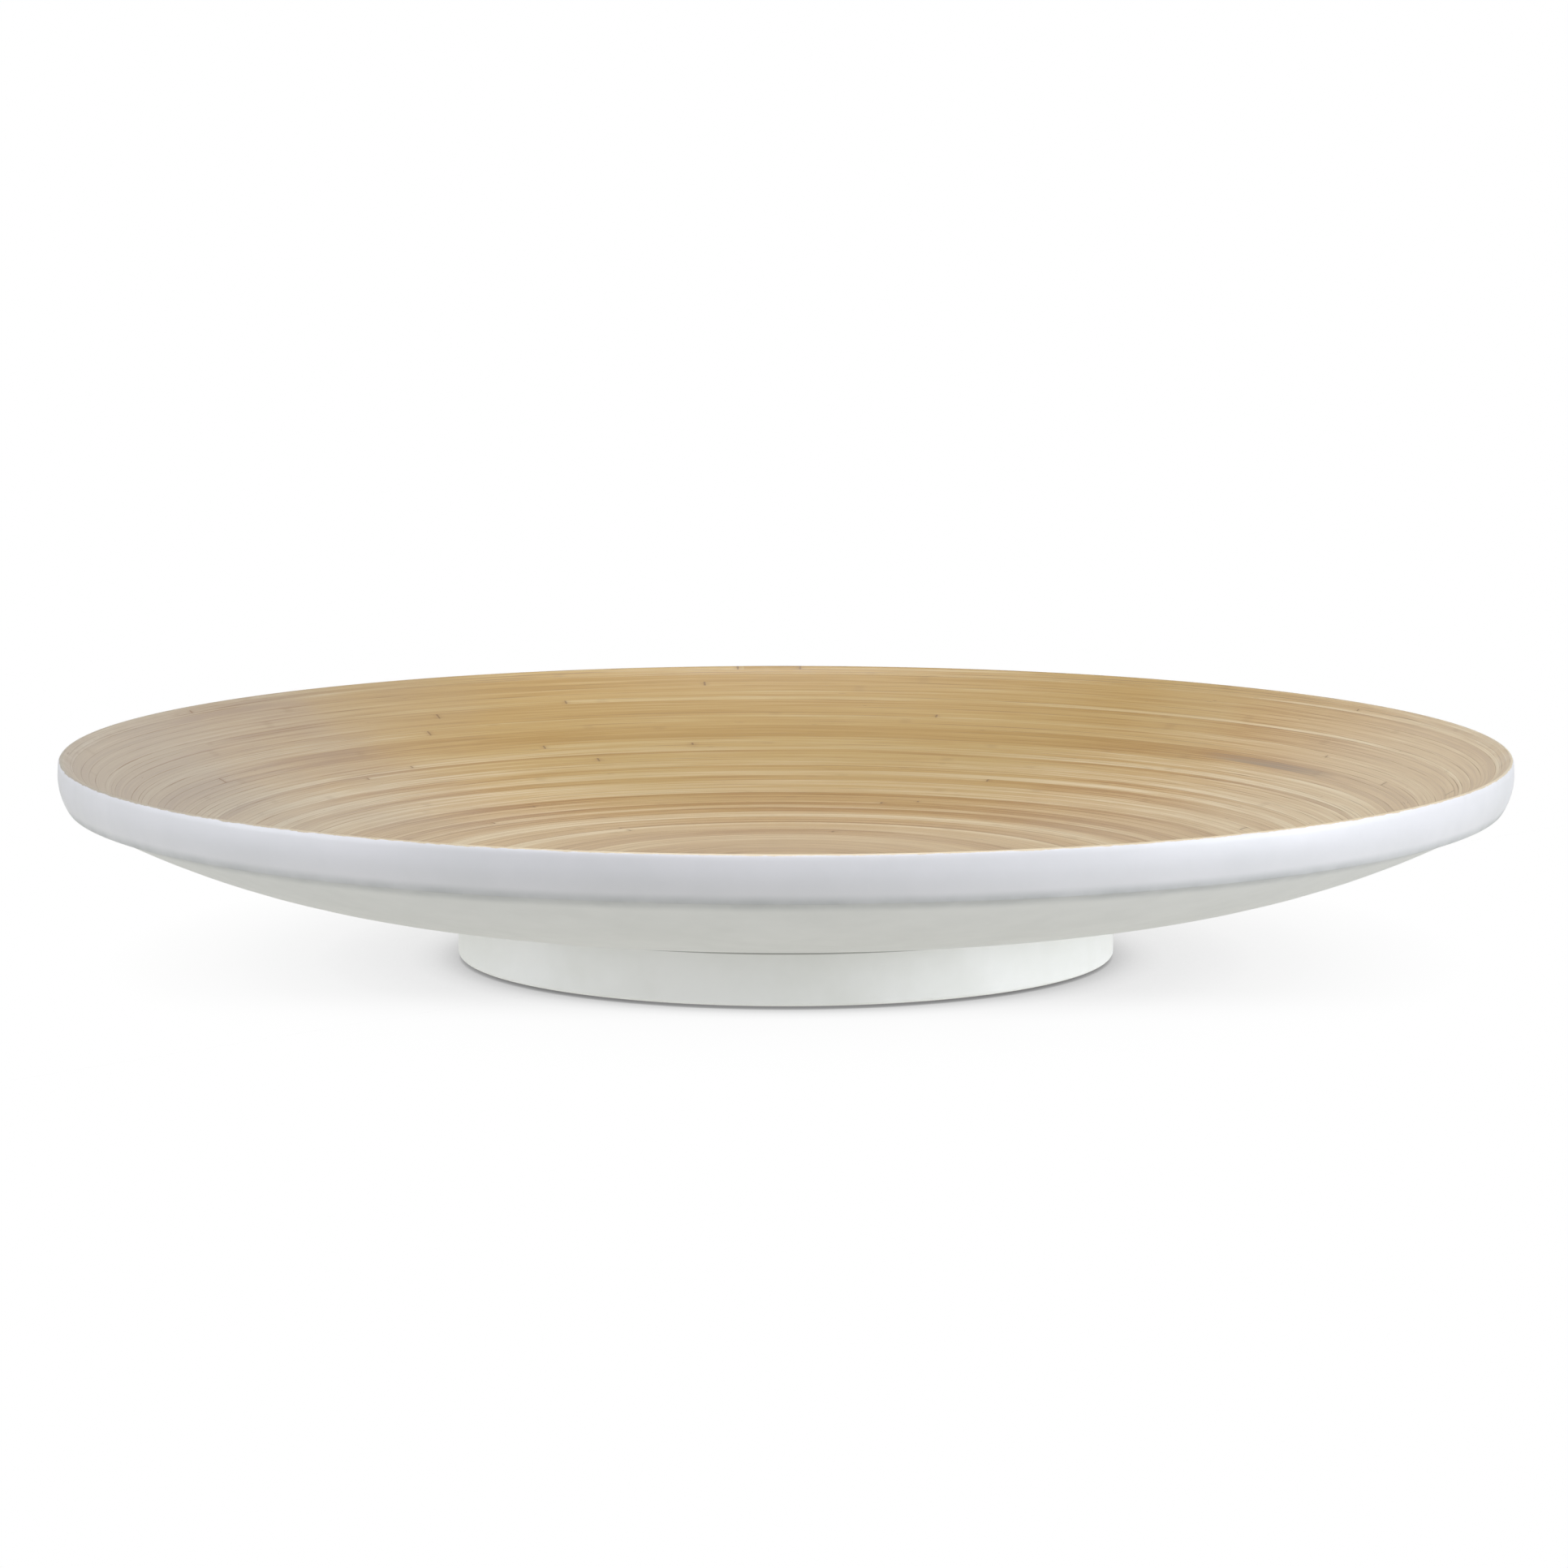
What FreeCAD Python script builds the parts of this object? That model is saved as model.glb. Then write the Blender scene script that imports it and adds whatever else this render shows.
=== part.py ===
import FreeCAD, Part
import math
import os
import Sketcher

# Lazy susan turntable: a shallow platter of coiled bamboo strip, glued, sanded and lacquered, that spins on
# a flat ball bearing hidden inside a low round foot. Forty separate pieces, in three bodies: the foot, the
# platter and the ring of balls between them.
#
# Frame: millimetres, +Z up along the spin axis, origin on the table under the centre of the foot.
# Every round piece is turned from an outline drawn in the XZ plane of its own body.
# Driving sizes live in the sheet "Sizes"; all sketches and features read them by expression.

os.makedirs("parts", exist_ok=True)
doc = FreeCAD.newDocument("LazySusan")

# ---------------------------------------------------------------- driving sizes

SIZES = {
    # Platter: one coiled bowl with a band of strip wound round its edge.
    "platter_radius": (177.5, "rim band at its widest"),
    "platter_top": (50.9, "crown of the lip"),
    "flat_radius": (84.0, "flat middle of the bowl, inside and out"),
    "under_level": (16.5, "flat underside of the bowl"),
    "floor_level": (21.5, "flat floor of the bowl"),
    "bowl_edge_radius": (173.8, "outer edge of the coil, inside the band"),
    "bowl_edge_low": (39.9, "underside at the coil's edge"),
    "bowl_edge_high": (49.1, "inner face at the coil's edge"),
    "band_low": (39.5, "bottom edge of the band"),
    "band_low_radius": (174.6, "where the band's bottom rounding starts"),
    "band_widest_level": (47.0, "height of the band's widest line"),
    "band_shoulder_radius": (177.3, "outer side of the lip's rounding"),
    "band_shoulder_level": (50.1, "height where the lip's rounding starts"),
    "lip_radius": (176.7, "radius of the lip's crown"),
    "lip_brow_radius": (176.1, "inner side of the lip's rounding"),
    "lip_brow_level": (50.7, "height of the inner side of the lip's rounding"),
    # Foot: a ring with a disc glued inside it, standing on rubber feet.
    "foot_radius": (80.6, "outside of the foot ring"),
    "foot_bore": (73.5, "inside of the foot ring"),
    "foot_low": (0.7, "bottom of the foot ring"),
    "foot_top": (16.0, "top of the foot ring"),
    "foot_edge_rounding": (0.9, "rounding of the ring's outer edges"),
    "base_low": (1.5, "underside of the base disc"),
    "base_top": (5.5, "top of the base disc"),
    "base_eye_radius": (12.0, "hole for the rivet in the base disc and the pad"),
    "rubber_radius": (7.0, "radius of one rubber foot"),
    "rubber_circle": (62.0, "circle of the rubber feet"),
    "rubber_edge": (0.4, "chamfer round a rubber foot's sole"),
    # Bearing: two grooved plates, a cage of balls between them, one hollow rivet.
    "plate_gauge": (1.5, "thickness of a bearing plate"),
    "race_inner": (45.0, "inside of the raised race"),
    "race_outer": (55.0, "outside of the raised race"),
    "race_rise": (2.8, "height of the raised race, plate included"),
    "bearing_top": (13.5, "top of the upper bearing plate"),
    "ball_circle": (50.0, "circle of the ball centres"),
    "ball_radius": (2.5, "radius of one ball"),
    "ball_play": (0.05, "gap between a ball and the bottom of its groove"),
    "groove_radius": (2.65, "radius of the ball groove"),
    "cage_inner": (46.4, "inside of the cage"),
    "cage_outer": (53.6, "outside of the cage"),
    "cage_gauge": (1.4, "thickness of the cage"),
    "pocket_radius": (2.6, "radius of a ball pocket"),
    "rivet_radius": (5.0, "outside of the rivet's barrel"),
    "rivet_bore": (3.8, "inside of the rivet's barrel"),
    "rivet_head_radius": (8.0, "flange at each end of the rivet"),
    "rivet_head_gauge": (0.9, "thickness of a rivet flange"),
    "running_gap": (0.06, "radial gap of the plate and washer on the rivet"),
    "washer_radius": (9.0, "outside of the thrust washer"),
    "washer_gauge": (0.55, "thickness of the thrust washer"),
    "thrust_gap": (0.1, "play between the washer and the rivet's flange"),
    "pad_radius": (68.0, "wooden pad under the bowl"),
    # Screws.
    "screw_circle": (30.0, "circle of both sets of screws"),
    "screw_radius": (1.6, "shank of a screw"),
    "screw_hole": (1.8, "clearance hole in a bearing plate"),
    "screw_head_radius": (3.2, "head of a screw"),
    "screw_head_rise": (1.6, "height of a screw's head"),
    "screw_tip": (1.2, "length of a screw's point"),
    "lower_screw_length": (5.0, "under the head, lower screws"),
    "upper_screw_length": (6.8, "under the head, upper screws"),
    "recess_width": (0.9, "width of the cross recess"),
    "recess_length": (3.6, "length of the cross recess"),
    "recess_depth": (0.9, "depth of the cross recess"),
    "access_radius": (5.0, "hole that lets a driver reach the upper screws"),
}
BALL_COUNT = 18
SCREW_COUNT = 4
RUBBER_COUNT = 4
HEAD_UP = FreeCAD.Rotation(FreeCAD.Vector(1, 0, 0), 180)

sheet = doc.addObject("Spreadsheet::Sheet", "Sizes")
for row, (alias, (value, note)) in enumerate(SIZES.items(), start=1):
    sheet.set(f"A{row}", alias)
    sheet.set(f"B{row}", str(value))
    sheet.set(f"C{row}", note)
    sheet.setAlias(f"B{row}", alias)
doc.recompute()


class Dim:
    """A length that knows both its value and the formula that FreeCAD keeps for it."""

    def __init__(self, value, formula):
        self.value = value
        self.formula = formula

    def __add__(self, other):
        other = as_dim(other)
        return Dim(self.value + other.value, f"({self.formula} + {other.formula})")

    def __sub__(self, other):
        other = as_dim(other)
        return Dim(self.value - other.value, f"({self.formula} - {other.formula})")

    def __mul__(self, other):
        other = as_dim(other)
        return Dim(self.value * other.value, f"({self.formula} * {other.formula})")

    def __truediv__(self, other):
        other = as_dim(other)
        return Dim(self.value / other.value, f"({self.formula} / {other.formula})")

    def root(self):
        return Dim(math.sqrt(self.value), f"sqrt({self.formula})")


def as_dim(length):
    return length if isinstance(length, Dim) else Dim(float(length), str(length))


def size(alias):
    return Dim(SIZES[alias][0], f"Sizes.{alias}")


def tangent_radius(along, across):
    """Radius of the arc that leaves a line tangentially and ends `along` it and `across` it."""
    return (along * along + across * across) / (across * 2)


# ---------------------------------------------------------------- levels worked out from the sizes

AXIS = as_dim(0)
base_top = size("base_top")
bearing_top = size("bearing_top")
lower_plate_top = base_top + size("plate_gauge")
upper_plate_under = bearing_top - size("plate_gauge")
ball_level = (base_top + bearing_top) / 2
washer_top = bearing_top + size("washer_gauge")
rivet_upper_seat = washer_top + size("thrust_gap")


# ---------------------------------------------------------------- drawing helpers

def origin_plane(body, role):
    return next(feature for feature in body.Origin.OriginFeatures if feature.Role == role)


def new_body(label):
    body = doc.addObject("PartDesign::Body", "Body_" + label)
    body.Label = label
    return body


def new_sketch(body, name, role, level=None):
    """A sketch on one of the body's own origin planes, lifted to `level` when that is given."""
    sketch = body.newObject("Sketcher::SketchObject", name)
    sketch.AttachmentSupport = [(origin_plane(body, role), "")]
    sketch.MapMode = "FlatFace"
    if level is not None:
        sketch.AttachmentOffset = FreeCAD.Placement(FreeCAD.Vector(0, 0, level.value), FreeCAD.Rotation())
        sketch.setExpression("AttachmentOffset.Base.z", level.formula)
    return sketch


def bind(sketch, kind, geometry, length):
    """Add a driving constraint and tie it to the length's formula."""
    index = sketch.addConstraint(Sketcher.Constraint(kind, *geometry, length.value))
    sketch.setExpression(f"Constraints[{index}]", length.formula)


def pin_point(sketch, edge, end, across, up):
    """Fix one end of an edge; a coordinate of zero puts it on the sketch's own axis instead."""
    if across.value == 0:
        sketch.addConstraint(Sketcher.Constraint("PointOnObject", edge, end, -2))
    else:
        bind(sketch, "DistanceX", (-1, 1, edge, end), across)
    if up.value == 0:
        sketch.addConstraint(Sketcher.Constraint("PointOnObject", edge, end, -1))
    else:
        bind(sketch, "DistanceY", (-1, 1, edge, end), up)


def arc_edge(start, end, radius):
    """The short arc between two points, stored anticlockwise. A positive radius bulges to the right of the
    way from start to end, a negative one to the left."""
    if radius < 0:
        start, end = end, start
        radius = -radius
    chord = end - start
    side = FreeCAD.Vector(-chord.y, chord.x, 0).normalize()
    centre = (start + end) / 2 + side * math.sqrt(radius * radius - chord.Length ** 2 / 4)
    angles = [math.atan2(point.y - centre.y, point.x - centre.x) for point in (start, end)]
    if angles[1] < angles[0]:
        angles[1] += 2 * math.pi
    return Part.ArcOfCircle(Part.Circle(centre, FreeCAD.Vector(0, 0, 1), radius), *angles)


def turn(body, outline):
    """Revolve an outline round Z. It is a list of (radius, level, bend); bend is the arc radius of the edge
    that leaves this point, or None for a straight edge, and its sign says which side the arc bulges to."""
    sketch = new_sketch(body, body.Label + "_outline", "XZ_Plane")
    points = [FreeCAD.Vector(across.value, up.value, 0) for across, up, _ in outline]
    count = len(points)
    for i, (_, _, bend) in enumerate(outline):
        start = points[i]
        end = points[(i + 1) % count]
        edge = Part.LineSegment(start, end) if bend is None else arc_edge(start, end, bend[0] * bend[1].value)
        sketch.addGeometry(edge, False)
    starts = [start_end(sketch.Geometry[i], points[i]) for i in range(count)]
    for i in range(count):
        following = (i + 1) % count
        joint = (i, 3 - starts[i], following, starts[following])
        sketch.addConstraint(Sketcher.Constraint("Coincident", *joint))
    for i, (across, up, bend) in enumerate(outline):
        pin_point(sketch, i, starts[i], across, up)
        if bend is not None:
            bind(sketch, "Radius", (i,), bend[1])
    turned = body.newObject("PartDesign::Revolution", body.Label + "_turned")
    turned.Profile = sketch
    turned.ReferenceAxis = (sketch, ["V_Axis"])
    turned.Angle = 360
    doc.recompute()


def start_end(edge, start):
    """Which end of a sketch edge (1 or 2) lies at `start`: an arc is always stored anticlockwise."""
    return 1 if (edge.StartPoint - start).Length < 1e-6 else 2


def drill(body, name, level, depth, holes):
    """Pocket round holes upwards from `level`; each hole is (x, y, radius)."""
    before = body.Shape.Volume
    sketch = new_sketch(body, f"{body.Label}_{name}", "XY_Plane", level)
    for i, (across, up, radius) in enumerate(holes):
        centre = FreeCAD.Vector(across.value, up.value, 0)
        sketch.addGeometry(Part.Circle(centre, FreeCAD.Vector(0, 0, 1), radius.value), False)
        pin_point(sketch, i, 3, across, up)
        bind(sketch, "Radius", (i,), radius)
    pocket = body.newObject("PartDesign::Pocket", f"{body.Label}_{name}_cut")
    pocket.Profile = sketch
    pocket.Type = "Length"
    pocket.Reversed = True
    pocket.Length = depth.value
    pocket.setExpression("Length", depth.formula)
    doc.recompute()
    print(f"{body.Label}: {name} took {before - body.Shape.Volume:.1f} mm3")


def repeat(body, feature, number):
    """Repeat the last cut evenly round Z."""
    pattern = body.newObject("PartDesign::PolarPattern", feature + "_pattern")
    pattern.Originals = [doc.getObject(feature + "_cut")]
    pattern.Axis = (origin_plane(body, "Z_Axis"), [""])
    pattern.Angle = 360
    pattern.Occurrences = number
    body.Tip = pattern
    before = body.Shape.Volume
    doc.recompute()
    print(f"{body.Label}: pattern took {before - body.Shape.Volume:.1f} mm3 more")


def place(body, radius, angle_deg, level):
    """Stand a piece at a point of a circle round the spin axis."""
    turn_to = FreeCAD.Rotation(FreeCAD.Vector(0, 0, 1), angle_deg)
    body.Placement = FreeCAD.Placement(turn_to.multVec(FreeCAD.Vector(radius.value, 0, level.value)), turn_to)
    body.setExpression("Placement.Base.x", f"{radius.formula} * cos({angle_deg} deg)")
    body.setExpression("Placement.Base.y", f"{radius.formula} * sin({angle_deg} deg)")
    body.setExpression("Placement.Base.z", level.formula)


def hole_ring(body, name, radius, level, depth, hole, number):
    """Round holes evenly spaced on a circle, drilled upwards from `level`."""
    drill(body, name, level, depth, [(radius, AXIS, hole)])
    repeat(body, f"{body.Label}_{name}", number)


# ---------------------------------------------------------------- platter

def make_bowl():
    """The coil: flat in the middle, then one long curve out to the lip, 5 mm thick at the floor and
    thickening towards the edge. The upper screws bite into its underside."""
    bowl = new_body("bamboo_bowl")
    run = size("bowl_edge_radius") - size("flat_radius")
    under_curve = tangent_radius(run, size("bowl_edge_low") - size("under_level"))
    floor_curve = tangent_radius(run, size("bowl_edge_high") - size("floor_level"))
    turn(bowl, [
        (AXIS, size("under_level"), None),
        (size("flat_radius"), size("under_level"), (1, under_curve)),
        (size("bowl_edge_radius"), size("bowl_edge_low"), None),
        (size("bowl_edge_radius"), size("bowl_edge_high"), (-1, floor_curve)),
        (size("flat_radius"), size("floor_level"), None),
        (AXIS, size("floor_level"), None),
    ])
    bite = upper_plate_under + size("upper_screw_length") - size("under_level")
    hole_ring(bowl, "pilot", size("screw_circle"), size("under_level"), bite, size("screw_radius"), SCREW_COUNT)
    return bowl


def make_rim_band():
    """The band of strip wound round the coil's edge. It stands a little proud below the bowl, swells to its
    widest line and closes over in a thin rounded lip."""
    band = new_body("rim_band")
    low_curve = tangent_radius(
        size("band_widest_level") - size("band_low"),
        size("platter_radius") - size("band_low_radius"),
    )
    high_curve = tangent_radius(
        size("band_shoulder_level") - size("band_widest_level"),
        size("platter_radius") - size("band_shoulder_radius"),
    )
    outer_lip = tangent_radius(
        size("band_shoulder_radius") - size("lip_radius"),
        size("platter_top") - size("band_shoulder_level"),
    )
    inner_lip = tangent_radius(
        size("lip_radius") - size("lip_brow_radius"),
        size("platter_top") - size("lip_brow_level"),
    )
    turn(band, [
        (size("bowl_edge_radius"), size("band_low"), None),
        (size("band_low_radius"), size("band_low"), (1, low_curve)),
        (size("platter_radius"), size("band_widest_level"), (1, high_curve)),
        (size("band_shoulder_radius"), size("band_shoulder_level"), (1, outer_lip)),
        (size("lip_radius"), size("platter_top"), (1, inner_lip)),
        (size("lip_brow_radius"), size("lip_brow_level"), None),
        (size("bowl_edge_radius"), size("bowl_edge_high"), None),
    ])
    return band


def make_bearing_pad():
    """The plywood disc glued under the bowl, which spaces the bearing down and takes its screws."""
    pad = new_body("bearing_pad")
    turn(pad, [
        (size("base_eye_radius"), bearing_top, None),
        (size("pad_radius"), bearing_top, None),
        (size("pad_radius"), size("under_level"), None),
        (size("base_eye_radius"), size("under_level"), None),
    ])
    through = size("under_level") - bearing_top
    hole_ring(pad, "pilot", size("screw_circle"), bearing_top, through, size("screw_radius"), SCREW_COUNT)
    return pad


# ---------------------------------------------------------------- bearing

def make_upper_plate():
    """The bearing plate that turns with the platter: its groove faces down."""
    plate = new_body("upper_bearing_plate")
    bore = size("rivet_radius") + size("running_gap")
    race_level = bearing_top - size("race_rise")
    groove_centre = ball_level - (size("groove_radius") - size("ball_radius") - size("ball_play"))
    rise = race_level - groove_centre
    groove_half = (size("groove_radius") * size("groove_radius") - rise * rise).root()
    turn(plate, [
        (bore, upper_plate_under, None),
        (size("race_inner"), upper_plate_under, None),
        (size("race_inner"), race_level, None),
        (size("ball_circle") - groove_half, race_level, (-1, size("groove_radius"))),
        (size("ball_circle") + groove_half, race_level, None),
        (size("race_outer"), race_level, None),
        (size("race_outer"), bearing_top, None),
        (bore, bearing_top, None),
    ])
    gauge = size("plate_gauge")
    hole_ring(plate, "screw_hole", size("screw_circle"), upper_plate_under, gauge, size("screw_hole"), SCREW_COUNT)
    return plate


def make_lower_plate():
    """The bearing plate that is screwed to the base: its groove faces up. One larger hole lets a driver
    reach the upper screws, one at a time, as the platter is turned."""
    plate = new_body("lower_bearing_plate")
    race_level = base_top + size("race_rise")
    groove_centre = ball_level + (size("groove_radius") - size("ball_radius") - size("ball_play"))
    drop = groove_centre - race_level
    groove_half = (size("groove_radius") * size("groove_radius") - drop * drop).root()
    turn(plate, [
        (size("rivet_radius"), base_top, None),
        (size("race_outer"), base_top, None),
        (size("race_outer"), race_level, None),
        (size("ball_circle") + groove_half, race_level, (-1, size("groove_radius"))),
        (size("ball_circle") - groove_half, race_level, None),
        (size("race_inner"), race_level, None),
        (size("race_inner"), lower_plate_top, None),
        (size("rivet_radius"), lower_plate_top, None),
    ])
    gauge = size("plate_gauge")
    offset = size("screw_circle") * math.sqrt(0.5)
    drill(plate, "screw_hole", base_top, gauge, [(offset, offset, size("screw_hole"))])
    repeat(plate, "lower_bearing_plate_screw_hole", SCREW_COUNT)
    drill(plate, "access", base_top, gauge, [(size("screw_circle"), AXIS, size("access_radius"))])
    return plate


def make_cage():
    """The nylon ring that keeps the balls evenly apart."""
    cage = new_body("ball_cage")
    cage_low = ball_level - size("cage_gauge") / 2
    cage_high = ball_level + size("cage_gauge") / 2
    turn(cage, [
        (size("cage_inner"), cage_low, None),
        (size("cage_outer"), cage_low, None),
        (size("cage_outer"), cage_high, None),
        (size("cage_inner"), cage_high, None),
    ])
    depth = size("cage_gauge")
    hole_ring(cage, "pocket", size("ball_circle"), cage_low, depth, size("pocket_radius"), BALL_COUNT)
    return cage


def make_balls():
    """The steel balls, each in its own pocket of the cage."""
    for i in range(BALL_COUNT):
        ball = doc.addObject("Part::Sphere", f"Ball_{i + 1:02d}")
        ball.Label = f"bearing_ball_{i + 1:02d}"
        ball.setExpression("Radius", "Sizes.ball_radius")
        place(ball, size("ball_circle"), 360 * i / BALL_COUNT, ball_level)
        pieces.append(ball)


def make_rivet():
    """The hollow rivet that holds the two plates together: pressed tight in the lower plate, free in the
    upper one, with a flange rolled out at each end."""
    rivet = new_body("centre_rivet")
    low = base_top - size("rivet_head_gauge")
    high = rivet_upper_seat + size("rivet_head_gauge")
    turn(rivet, [
        (size("rivet_bore"), low, None),
        (size("rivet_head_radius"), low, None),
        (size("rivet_head_radius"), base_top, None),
        (size("rivet_radius"), base_top, None),
        (size("rivet_radius"), rivet_upper_seat, None),
        (size("rivet_head_radius"), rivet_upper_seat, None),
        (size("rivet_head_radius"), high, None),
        (size("rivet_bore"), high, None),
    ])
    return rivet


def make_washer():
    """The thrust washer between the upper plate and the rivet's upper flange."""
    washer = new_body("thrust_washer")
    bore = size("rivet_radius") + size("running_gap")
    turn(washer, [
        (bore, bearing_top, None),
        (size("washer_radius"), bearing_top, None),
        (size("washer_radius"), washer_top, None),
        (bore, washer_top, None),
    ])
    return washer


# ---------------------------------------------------------------- foot

def make_foot_ring():
    """The round wall of the foot, with both outer edges eased."""
    ring = new_body("foot_ring")
    ease = size("foot_edge_rounding")
    turn(ring, [
        (size("foot_bore"), size("foot_low"), None),
        (size("foot_radius") - ease, size("foot_low"), (1, ease)),
        (size("foot_radius"), size("foot_low") + ease, None),
        (size("foot_radius"), size("foot_top") - ease, (1, ease)),
        (size("foot_radius") - ease, size("foot_top"), None),
        (size("foot_bore"), size("foot_top"), None),
    ])
    return ring


def make_base_disc():
    """The plywood disc glued inside the ring. It carries the lower bearing plate, and has a clearance hole
    for the rivet and the driver's access hole."""
    disc = new_body("base_disc")
    turn(disc, [
        (size("base_eye_radius"), size("base_low"), None),
        (size("foot_bore"), size("base_low"), None),
        (size("foot_bore"), base_top, None),
        (size("base_eye_radius"), base_top, None),
    ])
    offset = size("screw_circle") * math.sqrt(0.5)
    bite = size("lower_screw_length") - size("plate_gauge")
    drill(disc, "pilot", base_top - bite, bite, [(offset, offset, size("screw_radius"))])
    repeat(disc, "base_disc_pilot", SCREW_COUNT)
    thickness = base_top - size("base_low")
    drill(disc, "access", size("base_low"), thickness, [(size("screw_circle"), AXIS, size("access_radius"))])
    return disc


def make_rubber_feet():
    """Thin rubber discs stuck under the base disc, which keep the foot just clear of the table."""
    for i in range(RUBBER_COUNT):
        foot = new_body(f"rubber_foot_{i + 1}")
        edge = size("rubber_edge")
        turn(foot, [
            (AXIS, AXIS, None),
            (size("rubber_radius") - edge, AXIS, None),
            (size("rubber_radius"), edge, None),
            (size("rubber_radius"), size("base_low"), None),
            (AXIS, size("base_low"), None),
        ])
        place(foot, size("rubber_circle"), 360 * (i + 0.5) / RUBBER_COUNT, AXIS)
        pieces.append(foot)


# ---------------------------------------------------------------- screws

def cross_bar(body, name, length, width):
    """Sink one bar of the cross recess into the face that lies at level zero."""
    bar = body.newObject("PartDesign::SubtractiveBox", f"{body.Label}_{name}")
    bar.AttachmentSupport = [(origin_plane(body, "XY_Plane"), "")]
    bar.MapMode = "FlatFace"
    for feature_property, value in (("Length", length), ("Width", width), ("Height", size("recess_depth"))):
        bar.setExpression(feature_property, value.formula)
    bar.setExpression("AttachmentOffset.Base.x", f"-{length.formula} / 2")
    bar.setExpression("AttachmentOffset.Base.y", f"-{width.formula} / 2")
    doc.recompute()


def make_screw(label, length):
    """A pan-head wood screw standing on its head: the domed head first, then the shank and its point."""
    screw = new_body(label)
    seat = size("screw_head_rise")
    brim = seat * 0.45
    crown = size("screw_head_radius") - brim
    tip = seat + length
    turn(screw, [
        (AXIS, AXIS, None),
        (crown, AXIS, (1, brim)),
        (size("screw_head_radius"), brim, None),
        (size("screw_head_radius"), seat, None),
        (size("screw_radius"), seat, None),
        (size("screw_radius"), tip - size("screw_tip"), None),
        (AXIS, tip, None),
    ])
    cross_bar(screw, "recess_long", size("recess_length"), size("recess_width"))
    cross_bar(screw, "recess_wide", size("recess_width"), size("recess_length"))
    return screw


def make_screws():
    """Four screws hold the lower plate down to the base disc, four more the upper plate up to the pad."""
    for i in range(SCREW_COUNT):
        lower = make_screw(f"lower_screw_{i + 1}", size("lower_screw_length"))
        place(lower, size("screw_circle"), 360 * (i + 0.5) / SCREW_COUNT, lower_plate_top + size("screw_head_rise"))
        lower.Placement.Rotation = lower.Placement.Rotation * HEAD_UP
        upper = make_screw(f"upper_screw_{i + 1}", size("upper_screw_length"))
        place(upper, size("screw_circle"), 360 * i / SCREW_COUNT, upper_plate_under - size("screw_head_rise"))
        pieces.extend([lower, upper])


# ---------------------------------------------------------------- build, check, write

pieces = [
    make_bowl(),
    make_rim_band(),
    make_bearing_pad(),
    make_upper_plate(),
    make_washer(),
    make_cage(),
    make_lower_plate(),
    make_rivet(),
    make_base_disc(),
    make_foot_ring(),
]
make_balls()
make_screws()
make_rubber_feet()
doc.recompute()

failed = [item.Name for item in doc.Objects if {"Invalid", "Error"} & set(item.State)]
if failed:
    raise RuntimeError(f"failed objects: {failed}")
for piece in pieces:
    if piece.Shape.isNull() or not piece.Shape.isValid() or piece.Shape.Volume <= 0:
        raise RuntimeError(f"bad shape: {piece.Label}")
for piece in pieces:
    piece.Shape.exportStep(f"parts/{piece.Label}.step")
    print(f"{piece.Label}: {piece.Shape.Volume:.1f} mm3")
print(f"{len(pieces)} pieces")
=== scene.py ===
import bisect
import math
import random

import bmesh
import bpy
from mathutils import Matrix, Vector, noise


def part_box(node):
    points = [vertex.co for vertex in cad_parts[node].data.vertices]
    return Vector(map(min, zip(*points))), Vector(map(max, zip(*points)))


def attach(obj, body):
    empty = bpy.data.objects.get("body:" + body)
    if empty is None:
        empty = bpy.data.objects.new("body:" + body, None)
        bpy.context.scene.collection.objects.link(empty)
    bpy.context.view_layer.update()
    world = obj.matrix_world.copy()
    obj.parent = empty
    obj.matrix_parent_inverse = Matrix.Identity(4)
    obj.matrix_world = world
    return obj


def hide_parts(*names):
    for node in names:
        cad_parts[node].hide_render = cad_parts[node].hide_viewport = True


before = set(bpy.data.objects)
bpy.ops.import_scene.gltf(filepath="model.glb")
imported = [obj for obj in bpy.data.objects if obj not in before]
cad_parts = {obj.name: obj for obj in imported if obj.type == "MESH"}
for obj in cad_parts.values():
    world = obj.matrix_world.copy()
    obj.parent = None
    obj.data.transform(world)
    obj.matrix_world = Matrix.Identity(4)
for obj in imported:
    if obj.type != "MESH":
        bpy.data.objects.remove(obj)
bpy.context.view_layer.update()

MM = 0.001


# ---------------------------------------------------------------- table and light
# The platter stands on a white acrylic table that is lit a little from below, inside a light tent. A broad
# soft panel hangs overhead, a tall one stands at each side, and the camera's own side is left dim.

CAMERA_PLACE = (-0.000466, -1.4016, 0.23296)
CAMERA_DIP_DEG = 7.755
CAMERA_LENS_MM = 132.22
CAMERA_FAR = 200.0
TENT_FILL = (0.080, 0.085, 0.098)
# Each panel: the way it stands from the table, how tightly it is gathered, and its light.
TENT_PANELS = (
    ((0.00, -0.10, 1.00), 26.0, (11.6, 11.6, 11.7)),
    ((1.00, -0.20, 0.07), 20.0, (11.0, 11.5, 12.3)),
    ((-0.97, -0.08, 0.10), 18.0, (5.60, 5.82, 6.26)),
    ((0.04, -1.00, 0.05), 20.0, (1.60, 1.70, 1.94)),
    ((0.00, 1.00, 0.12), 8.0, (0.42, 0.43, 0.44)),
)
GLOW_WHITE = (1.0, 1.0, 1.0, 1.0)
TABLE_SIZE = 60.0
TABLE_CLEARANCE = 0.05 * MM
# What the table gives back to the platter: its own grey, its glow, and the brighter glow in the middle.
TABLE_CAST = (0.16, 0.16, 0.152, 1.0)
TABLE_CAST_GLOW = (0.45, 0.45, 0.415, 1.0)
TABLE_LAMP_GLOW = (0.60, 0.60, 0.56, 1.0)
LAMP_REACH = (0.24, 0.09)
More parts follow.
